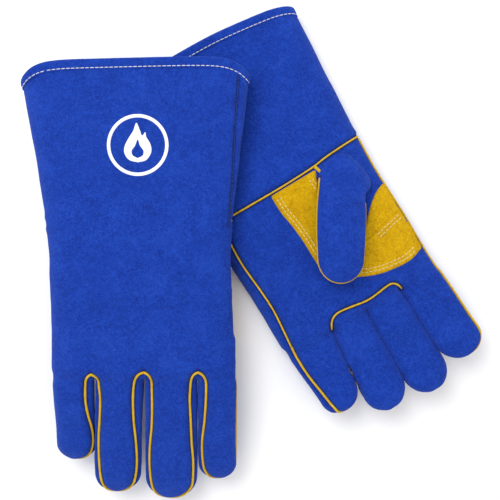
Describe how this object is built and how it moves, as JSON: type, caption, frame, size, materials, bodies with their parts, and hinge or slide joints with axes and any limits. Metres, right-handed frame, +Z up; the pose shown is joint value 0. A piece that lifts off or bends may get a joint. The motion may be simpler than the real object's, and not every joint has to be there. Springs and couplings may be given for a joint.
{
  "type": "welding gloves",
  "caption": "Pair of long leather welding gloves laid flat, one over the other, with welted seams, gold palm patches, bending fingers and lifting thumbs.",
  "frame": {"origin": "centre of the overall box, on the surface the pair lies on", "axes": "+Z up from the table; +Y from the fingers towards the cuffs of the upper glove; +X towards the lower glove"},
  "size_m": [0.382, 0.4073, 0.0527],
  "materials": {
    "leather_blue": "suede",
    "leather_gold": "suede",
    "welt_gold": "suede",
    "thread_white": "twisted thread",
    "thread_blue": "twisted thread",
    "lining_cotton": "brushed cotton",
    "ink_white": "printed ink"
  },
  "bodies": {
    "left_hand": {"left_back_panel": "leather_blue", "left_palm_panel": "leather_blue", "left_cuff_panel": "leather_blue", "left_hem_binding": "leather_blue", "left_wrist_welt": "welt_gold", "left_little_side_welt": "welt_gold", "left_index_side_welt": "welt_gold", "left_finger_base_welt": "welt_gold", "left_palm_patch": "leather_gold", "left_crotch_patch": "leather_gold", "left_patch_stitching": "thread_white", "left_hem_stitching": "thread_white", "left_hand_lining": "lining_cotton", "left_cuff_lining": "lining_cotton"},
    "left_index": {"left_index_back": "leather_blue", "left_index_front": "leather_blue", "left_index_welt": "welt_gold"},
    "left_middle": {"left_middle_back": "leather_blue", "left_middle_front": "leather_blue", "left_middle_welt": "welt_gold"},
    "left_ring": {"left_ring_back": "leather_blue", "left_ring_front": "leather_blue", "left_ring_welt": "welt_gold"},
    "left_little": {"left_little_back": "leather_blue", "left_little_front": "leather_blue", "left_little_welt": "welt_gold"},
    "left_thumb": {"left_thumb_back": "leather_blue", "left_thumb_front": "leather_blue", "left_thumb_welt": "welt_gold"},
    "right_hand": {"right_back_panel": "leather_blue", "right_palm_panel": "leather_blue", "right_cuff_panel": "leather_blue", "right_hem_binding": "leather_blue", "right_wrist_welt": "welt_gold", "right_little_side_welt": "welt_gold", "right_index_side_welt": "welt_gold", "right_finger_base_welt": "welt_gold", "right_palm_patch": "leather_gold", "right_crotch_patch": "leather_gold", "right_patch_stitching": "thread_white", "right_hem_stitching": "thread_white", "right_hand_lining": "lining_cotton", "right_cuff_lining": "lining_cotton", "right_emblem": "ink_white"},
    "right_index": {"right_index_back": "leather_blue", "right_index_front": "leather_blue", "right_index_welt": "welt_gold"},
    "right_middle": {"right_middle_back": "leather_blue", "right_middle_front": "leather_blue", "right_middle_welt": "welt_gold"},
    "right_ring": {"right_ring_back": "leather_blue", "right_ring_front": "leather_blue", "right_ring_welt": "welt_gold"},
    "right_little": {"right_little_back": "leather_blue", "right_little_front": "leather_blue", "right_little_welt": "welt_gold"},
    "right_thumb": {"right_thumb_back": "leather_blue", "right_thumb_front": "leather_blue", "right_thumb_welt": "welt_gold"}
  },
  "joints": [
    {"name": "right_glove_lift", "type": "slide", "parent": "left_hand", "child": "right_hand", "axis": [0, 0, 1], "range_m": [0, 0.1]},
    {"name": "left_index_flex", "type": "hinge", "parent": "left_hand", "child": "left_index", "pos_m": [0.14371, -0.02628, 0.024], "axis": [-0.8572, -0.515, 0], "range_deg": [0, 75], "stiffness_Nm_per_rad": 0.15},
    {"name": "left_middle_flex", "type": "hinge", "parent": "left_hand", "child": "left_middle", "pos_m": [0.11148, -0.04565, 0.024], "axis": [-0.8572, -0.515, 0], "range_deg": [0, 75], "stiffness_Nm_per_rad": 0.15},
    {"name": "left_ring_flex", "type": "hinge", "parent": "left_hand", "child": "left_ring", "pos_m": [0.0753, -0.06738, 0.024], "axis": [-0.8572, -0.515, 0], "range_deg": [0, 75], "stiffness_Nm_per_rad": 0.15},
    {"name": "left_little_flex", "type": "hinge", "parent": "left_hand", "child": "left_little", "pos_m": [0.0429, -0.08685, 0.024], "axis": [-0.8572, -0.515, 0], "range_deg": [0, 75], "stiffness_Nm_per_rad": 0.15},
    {"name": "left_thumb_lift", "type": "hinge", "parent": "left_hand", "child": "left_thumb", "pos_m": [0.07334, 0.06326, 0.0263], "axis": [-1, 0.0087, 0], "range_deg": [0, 50], "stiffness_Nm_per_rad": 0.2},
    {"name": "right_index_flex", "type": "hinge", "parent": "right_hand", "child": "right_index", "pos_m": [-0.03015, -0.1098, 0.02271], "axis": [1, 0, 0], "range_deg": [0, 75], "stiffness_Nm_per_rad": 0.15},
    {"name": "right_middle_flex", "type": "hinge", "parent": "right_hand", "child": "right_middle", "pos_m": [-0.06775, -0.1098, 0.02271], "axis": [1, 0, 0], "range_deg": [0, 75], "stiffness_Nm_per_rad": 0.15},
    {"name": "right_ring_flex", "type": "hinge", "parent": "right_hand", "child": "right_ring", "pos_m": [-0.10995, -0.1098, 0.02271], "axis": [1, 0, 0], "range_deg": [0, 75], "stiffness_Nm_per_rad": 0.15},
    {"name": "right_little_flex", "type": "hinge", "parent": "right_hand", "child": "right_little", "pos_m": [-0.14775, -0.1098, 0.02271], "axis": [1, 0, 0], "range_deg": [0, 75], "stiffness_Nm_per_rad": 0.15},
    {"name": "right_thumb_lift", "type": "hinge", "parent": "right_hand", "child": "right_thumb", "pos_m": [-0.04435, 0.00322, 0.02317], "axis": [0.8526, -0.5223, -0.0128], "range_deg": [0, 30], "stiffness_Nm_per_rad": 0.2}
  ]
}
